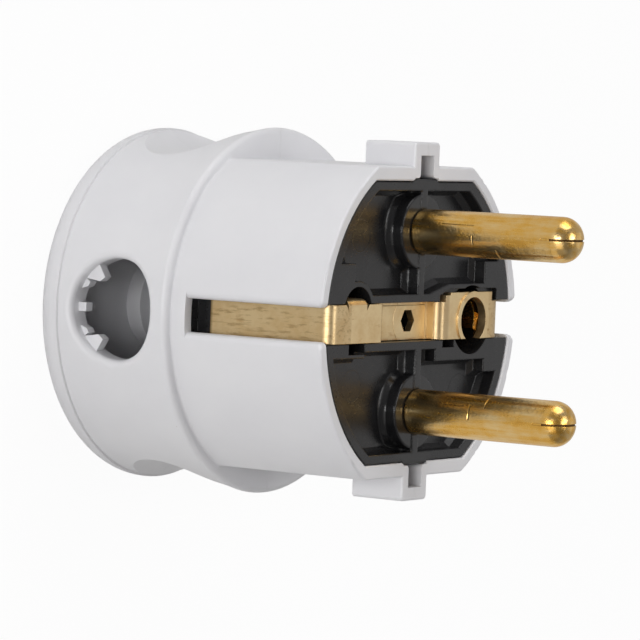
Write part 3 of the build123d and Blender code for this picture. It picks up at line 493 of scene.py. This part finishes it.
def sheet_brass(name, light, dark, stain_colour, roughness, edge, marks=None):
    """Sheet brass: satin, with stains, rubbed streaks and fine scratches, and marks of its own."""
    material, tree, shader = new_material(name)
    place = millimetres(tree)
    cloud = noise_texture(tree, place, scale=0.45, detail=6.0, roughness=0.65)
    tint = colour_ramp(tree, cloud, ((SHEET_DARK_PLACE, dark), (SHEET_LIGHT_PLACE, light)))
    along = millimetres(tree, RUBBED_STRETCH)
    rubbed = noise_texture(tree, along, scale=1.1, detail=5.0, roughness=0.7)
    rubbed = remap(tree, rubbed, *RUBBED_SPAN, 0.0, RUBBED_STRENGTH)
    tint = blend_colour(tree, rubbed, tint, stain_colour)
    spots = specks(tree, place, **SHEET_SPECKS)
    tint = stain_and_shade(tree, spots, SHEET_SPECK_STRENGTH, tint, stain_colour)
    along = millimetres(tree, SHEET_GRAIN_STRETCH)
    grain = noise_texture(tree, along, scale=7.0, detail=4.0)
    normal = rounded_edges(tree, edge * MM)
    normal = bump(tree, noise_texture(tree, place, scale=0.6, detail=3.0), SHEET_WAVE_DEPTH, normal)
    normal = bump(tree, grain, SHEET_GRAIN_DEPTH, normal)
    if marks:
        tint, normal = marks(tree, place, tint, normal)
    connect(tree, shader, tint, stretch_noise(tree, grain, *roughness), normal)
    shader.inputs["Metallic"].default_value = 1.0
    return material


def grained_metal(name, tints, scale, detail, roughness, edge, depth):
    """A metal whose colour, roughness and bump follow one grain."""
    material, tree, shader = new_material(name)
    grain = noise_texture(tree, millimetres(tree), scale=scale, detail=detail)
    tint = colour_ramp(tree, grain, tints)
    normal = bump(tree, grain, depth, rounded_edges(tree, edge * MM))
    connect(tree, shader, tint, stretch_noise(tree, grain, *roughness), normal)
    shader.inputs["Metallic"].default_value = 1.0
    return material


materials = {
    "white_plastic": hood_plastic(),
    "black_plastic": carrier_plastic(),
    "pin_brass": pin_brass(),
    "strip_brass": sheet_brass(
        "strip_brass",
        light=(0.87, 0.68, 0.39),
        dark=(0.77, 0.56, 0.29),
        stain_colour=(0.58, 0.35, 0.15),
        roughness=(0.33, 0.47),
        edge=0.06,
        marks=bridge_marks,
    ),
    "terminal_brass": sheet_brass(
        "terminal_brass",
        light=(0.74, 0.52, 0.22),
        dark=(0.62, 0.40, 0.15),
        stain_colour=(0.42, 0.24, 0.09),
        roughness=(0.22, 0.36),
        edge=0.08,
    ),
    "screw_steel": grained_metal(
        "screw_steel",
        tints=((0.3, (0.42, 0.41, 0.39)), (0.7, (0.56, 0.55, 0.53))),
        scale=3.0,
        detail=5.0,
        roughness=(0.28, 0.45),
        edge=0.08,
        depth=0.003,
    ),
    # Dark brass of the slits' cores: painted shade of the hollow inside the pins, with some oxide
    "hollow_shade_brass": grained_metal(
        "hollow_shade_brass",
        tints=((0.35, (0.07, 0.035, 0.012)), (0.65, (0.20, 0.11, 0.035))),
        scale=1.5,
        detail=4.0,
        roughness=(0.45, 0.65),
        edge=0.03,
        depth=0.02,
    ),
}
for subpart in frame["record"]["subparts"]:
    node = nodes[subpart["node"]]
    node.data.materials.clear()
    node.data.materials.append(materials[subpart["material_slot"]])


# Leaves in the pins' slits: a foot where the rolled seam is closed, and above it a dark core leaf
# that paints the shade of the pin's hollow, with some oxide
PIN_RADIUS = 2.4
SLIT_WIDTH = 0.20
SLIT_LENGTH = 3.3
SLIT_DEPTH = 0.13
CLOSED_LENGTH = 1.0
CLOSED_DEPTH = 0.015
TIP_RADIUS = 2.1
TIP_STEPS = 12


def slit_outlines():
    """The closed foot of the slit, and the dark core above it set back from the rounded tip."""
    half = PIN_RADIUS - CLOSED_DEPTH
    closed = [(-half, 0.0), (half, 0.0), (half, CLOSED_LENGTH), (-half, CLOSED_LENGTH)]
    half = PIN_RADIUS - SLIT_DEPTH
    round_radius = TIP_RADIUS - SLIT_DEPTH
    shoulder = SLIT_LENGTH - TIP_RADIUS
    core = [(half, CLOSED_LENGTH)]
    for step in range(TIP_STEPS + 1):
        turn = math.pi / 2 * step / TIP_STEPS
        across = half - round_radius * (1 - math.cos(turn))
        core.append((across, shoulder + round_radius * math.sin(turn)))
    core += [(-across, up) for across, up in reversed(core)]
    return closed, core


def slit_leaf(name, pin, outline, material):
    """A thin leaf in a pin's slit, from its outline across and up from the slit's floor."""
    low, high = (Vector(corner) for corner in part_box(pin))
    centre = (low + high) / 2
    foot = high.z - SLIT_LENGTH * MM
    mesh = bmesh.new()
    sides = []
    for side in (-1, 1):
        y = centre.y + side * SLIT_WIDTH * MM / 2
        points = [(centre.x + across * MM, y, foot + up * MM) for across, up in outline]
        sides.append([mesh.verts.new(point) for point in points])
    mesh.faces.new(sides[0])
    mesh.faces.new(list(reversed(sides[1])))
    for index in range(len(outline)):
        after = (index + 1) % len(outline)
        mesh.faces.new((sides[0][index], sides[1][index], sides[1][after], sides[0][after]))
    bmesh.ops.recalc_face_normals(mesh, faces=mesh.faces)
    data = bpy.data.meshes.new(name)
    mesh.to_mesh(data)
    mesh.free()
    data.materials.append(material)
    piece = bpy.data.objects.new(name, data)
    bpy.context.scene.collection.objects.link(piece)
    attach(piece, "root")


closed_outline, core_outline = slit_outlines()
for pin in ("line_pin", "neutral_pin"):
    slit_leaf(pin + "_seam_foot", pin, closed_outline, materials["pin_brass"])
    slit_leaf(pin + "_hollow_shade_core", pin, core_outline, materials["hollow_shade_brass"])


# Floor: its card brightens to both sides (axis, reach, strength)
FLOOR_SIZE = 12.0
FLOOR_DROP = 0.02
FLOOR_COLOUR = (0.88, 0.88, 0.88, 1.0)
FLOOR_ROUGHNESS = 0.9
FLOOR_WHITE_SHARE = 0.95
CARD_COLOUR = (1.0, 0.99, 0.97, 1.0)
CARD_GLOW = 0.50
CARD_SIDES = ((1, 0.05, 0.10), (1, -0.05, 0.12))


def floor_white():
    """White to the camera with a faint shadow, and a glowing card to what reflects it."""
    material, tree, shader = new_material("floor_white")
    shader.inputs["Base Color"].default_value = FLOOR_COLOUR
    shader.inputs["Roughness"].default_value = FLOOR_ROUGHNESS
    rays = add_node(tree, "ShaderNodeLightPath").outputs
    inputs = {"Color": (*WHITE, 1.0), "Strength": 1.0}
    white = add_node(tree, "ShaderNodeEmission", inputs).outputs[0]
    spread = axes(tree, add_node(tree, "ShaderNodeTexCoord").outputs["Object"])
    glow = CARD_GLOW
    for axis, reach, strength in CARD_SIDES:
        side = remap(tree, spread[axis], 0.0, reach, 0.0, strength)
        glow = calculate(tree, "ADD", glow, side)
    inputs = {"Color": CARD_COLOUR, "Strength": glow}
    card = add_node(tree, "ShaderNodeEmission", inputs).outputs[0]
    share = multiply(tree, rays["Is Camera Ray"], FLOOR_WHITE_SHARE)
    inputs = {0: share, 1: shader.outputs[0], 2: white}
    lit = add_node(tree, "ShaderNodeMixShader", inputs).outputs[0]
    inputs = {0: rays["Is Glossy Ray"], 1: lit, 2: card}
    surface = add_node(tree, "ShaderNodeMixShader", inputs).outputs[0]
    tree.links.new(surface, tree.nodes["Material Output"].inputs["Surface"])
    return material


bpy.ops.mesh.primitive_plane_add(size=FLOOR_SIZE, location=(0.0, 0.0, -FLOOR_DROP * MM))
floor = bpy.context.object
floor.name = "floor"
floor.data.materials.append(floor_white())

# World: a soft glow that rises to each side (axis, sign, colour)
WORLD_BASE = (0.155, 0.150, 0.147)
WORLD_SIDES = (
    (0, 1.0, (0.27, 0.27, 0.27)),
    (1, 1.0, (0.09, 0.092, 0.10)),
    (0, -1.0, (0.06, 0.06, 0.06)),
)


def studio_world():
    """A world that glows from the sides and is pure white to the camera."""
    world = bpy.data.worlds.new("studio")
    world.use_nodes = True
    tree = world.node_tree
    background = tree.nodes["Background"]
    rays = add_node(tree, "ShaderNodeLightPath").outputs
    direction = axes(tree, add_node(tree, "ShaderNodeTexCoord").outputs["Generated"])
    tone = WORLD_BASE
    for axis, sign, colour in WORLD_SIDES:
        side = remap(tree, multiply(tree, direction[axis], sign), 0.0, 1.0, 0.0, 1.0)
        glow = vector_math(tree, "SCALE", {0: colour, "Scale": side})
        tone = vector_math(tree, "ADD", {0: tone, 1: glow})
    seen = blend_colour(tree, rays["Is Camera Ray"], tone, WHITE)
    tree.links.new(seen, background.inputs["Color"])
    background.inputs["Strength"].default_value = 1.0
    return world


bpy.context.scene.world = studio_world()

# Soft lights: name, place, width, height, power and colour
LIGHT_TARGET = (0.0, 0.0, 0.028)
LAMPS = (
    ("side", (-0.60, 0.05, 0.10), 0.16, 0.5, 1.75, WHITE),
    ("top", (0.0, 0.85, 0.35), 0.6, 0.6, 2.5, WHITE),
    ("front", (0.10, 0.12, 0.85), 0.4, 0.4, 1.75, WHITE),
    ("fill", (-0.75, -0.30, 0.35), 0.6, 0.6, 1.0, (1.0, 0.985, 0.97)),
    ("under", (-0.30, -0.75, 0.40), 0.6, 0.6, 0.15, (1.0, 0.97, 0.93)),
    ("back", (0.80, 0.0, 0.64), 0.5, 0.5, 0.20, WHITE),
)


def softbox(name, place, width, height, power, colour):
    """A rectangular soft light that looks at the plug."""
    data = bpy.data.lights.new(name, "AREA")
    data.shape = "RECTANGLE"
    data.size = width
    data.size_y = height
    data.energy = power
    data.color = colour
    lamp = bpy.data.objects.new(name, data)
    bpy.context.scene.collection.objects.link(lamp)
    lamp.location = place
    lamp.rotation_mode = "QUATERNION"
    lamp.rotation_quaternion = (Vector(LIGHT_TARGET) - Vector(place)).to_track_quat("-Z", "Y")


for lamp_values in LAMPS:
    softbox(*lamp_values)

# Camera at the photograph's angle
CAMERA_PLACE = (-0.3628405, 0.0226789, 0.2739271)
CAMERA_TURN = (0.8848833, -0.0326520, -0.4646364, 0.0053315)
CAMERA_LENS = 231.55
CAMERA_SENSOR = 36.0
CAMERA_NEAR = 0.01
CAMERA_FAR = 50.0

camera_data = bpy.data.cameras.new("camera")
camera_data.sensor_width = CAMERA_SENSOR
camera_data.lens = CAMERA_LENS
camera_data.clip_start = CAMERA_NEAR
camera_data.clip_end = CAMERA_FAR
camera = bpy.data.objects.new("camera", camera_data)
bpy.context.scene.collection.objects.link(camera)
camera.rotation_mode = "QUATERNION"
camera.location = CAMERA_PLACE
camera.rotation_quaternion = Quaternion(CAMERA_TURN)
bpy.context.scene.camera = camera
bpy.context.scene.view_settings.view_transform = "Standard"
